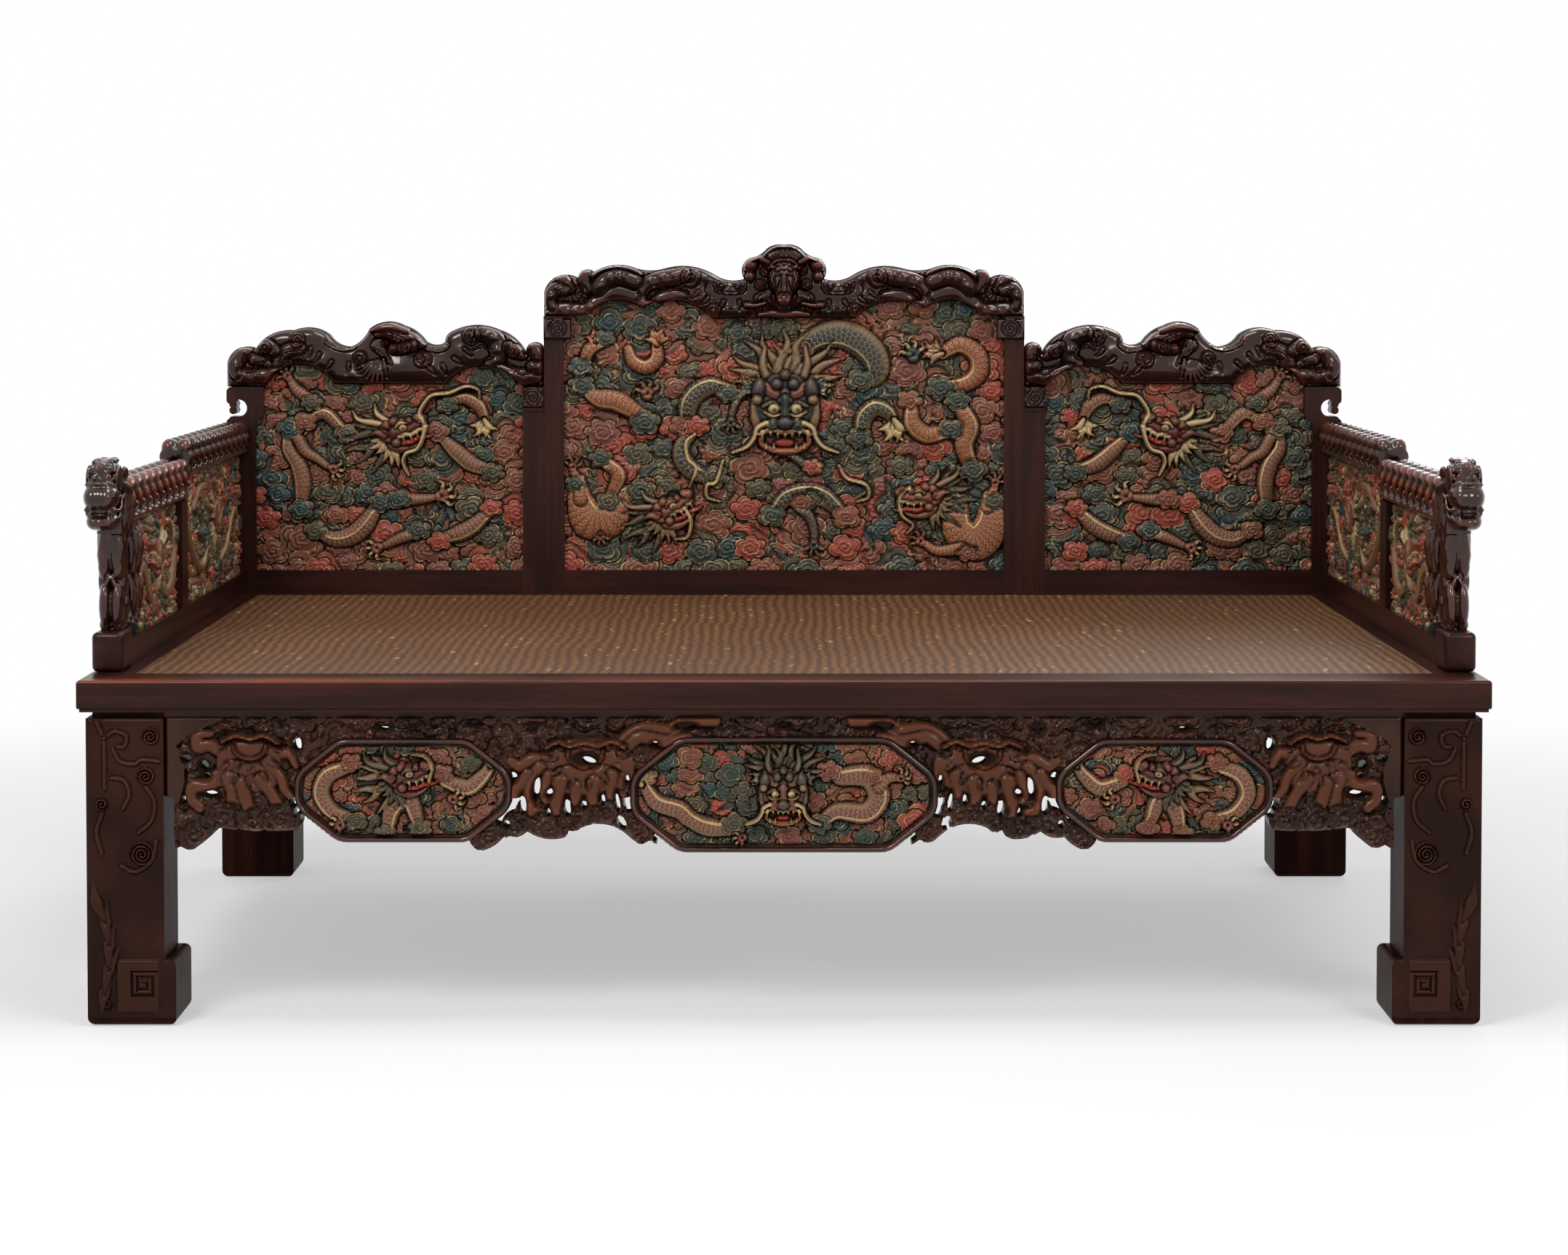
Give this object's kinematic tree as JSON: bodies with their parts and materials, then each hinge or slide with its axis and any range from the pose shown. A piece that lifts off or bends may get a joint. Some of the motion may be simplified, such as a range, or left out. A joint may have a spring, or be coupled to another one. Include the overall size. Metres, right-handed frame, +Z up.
{
  "type": "luohan daybed",
  "caption": "Wide low daybed with five lift-off carved screens on three sides, a matted seat frame, cloud-edged aprons and square legs with inturned feet.",
  "frame": {"origin": "on the floor under the middle of the seat frame, bottom centre of the whole object", "axes": "+X along the length to a viewer's right, -Y the open front, +Z up"},
  "size_m": [2.022, 1.212, 1.1268],
  "materials": {
    "wood": "very dark polished red-brown hardwood, worn red on the high spots",
    "lacquer": "carved wood in coral, terracotta, grey-green and teal lacquer with gilt edge lines",
    "mat": "brown matting woven in wavy ribs that run front to back"
  },
  "bodies": {
    "base": {"apron_back": "wood", "apron_front": "wood", "apron_left": "wood", "apron_right": "wood", "leg_back_left": "wood", "leg_back_right": "wood", "leg_front_left": "wood", "leg_front_right": "wood", "medallion_front_centre": "lacquer", "medallion_front_left": "lacquer", "medallion_front_right": "lacquer", "medallion_left": "lacquer", "medallion_right": "lacquer", "seat_back_rail": "wood", "seat_brace_1": "wood", "seat_brace_2": "wood", "seat_brace_3": "wood", "seat_front_rail": "wood", "seat_left_rail": "wood", "seat_mat": "mat", "seat_right_rail": "wood"},
    "back_centre": {"back_centre_bottom_rail": "wood", "back_centre_crest": "wood", "back_centre_panel": "lacquer", "back_centre_stile_left": "wood", "back_centre_stile_right": "wood"},
    "back_left": {"back_left_bottom_rail": "wood", "back_left_crest": "wood", "back_left_inner_stile": "wood", "back_left_outer_stile": "wood", "back_left_panel": "lacquer"},
    "back_right": {"back_right_bottom_rail": "wood", "back_right_crest": "wood", "back_right_inner_stile": "wood", "back_right_outer_stile": "wood", "back_right_panel": "lacquer"},
    "side_left": {"side_left_base_rail": "wood", "side_left_beast_post": "wood", "side_left_front_crest": "wood", "side_left_front_panel": "lacquer", "side_left_middle_stile": "wood", "side_left_rear_crest": "wood", "side_left_rear_panel": "lacquer", "side_left_rear_stile": "wood"},
    "side_right": {"side_right_base_rail": "wood", "side_right_beast_post": "wood", "side_right_front_crest": "wood", "side_right_front_panel": "lacquer", "side_right_middle_stile": "wood", "side_right_rear_crest": "wood", "side_right_rear_panel": "lacquer", "side_right_rear_stile": "wood"}
  },
  "joints": [
    {"name": "lift_back_centre", "type": "slide", "parent": "base", "child": "back_centre", "axis": [0, 0, 1], "range_m": [0, 0.04]},
    {"name": "lift_back_left", "type": "slide", "parent": "base", "child": "back_left", "axis": [0, 0, 1], "range_m": [0, 0.04]},
    {"name": "lift_back_right", "type": "slide", "parent": "base", "child": "back_right", "axis": [0, 0, 1], "range_m": [0, 0.04]},
    {"name": "lift_side_left", "type": "slide", "parent": "base", "child": "side_left", "axis": [0, 0, 1], "range_m": [0, 0.04]},
    {"name": "lift_side_right", "type": "slide", "parent": "base", "child": "side_right", "axis": [0, 0, 1], "range_m": [0, 0.04]}
  ]
}
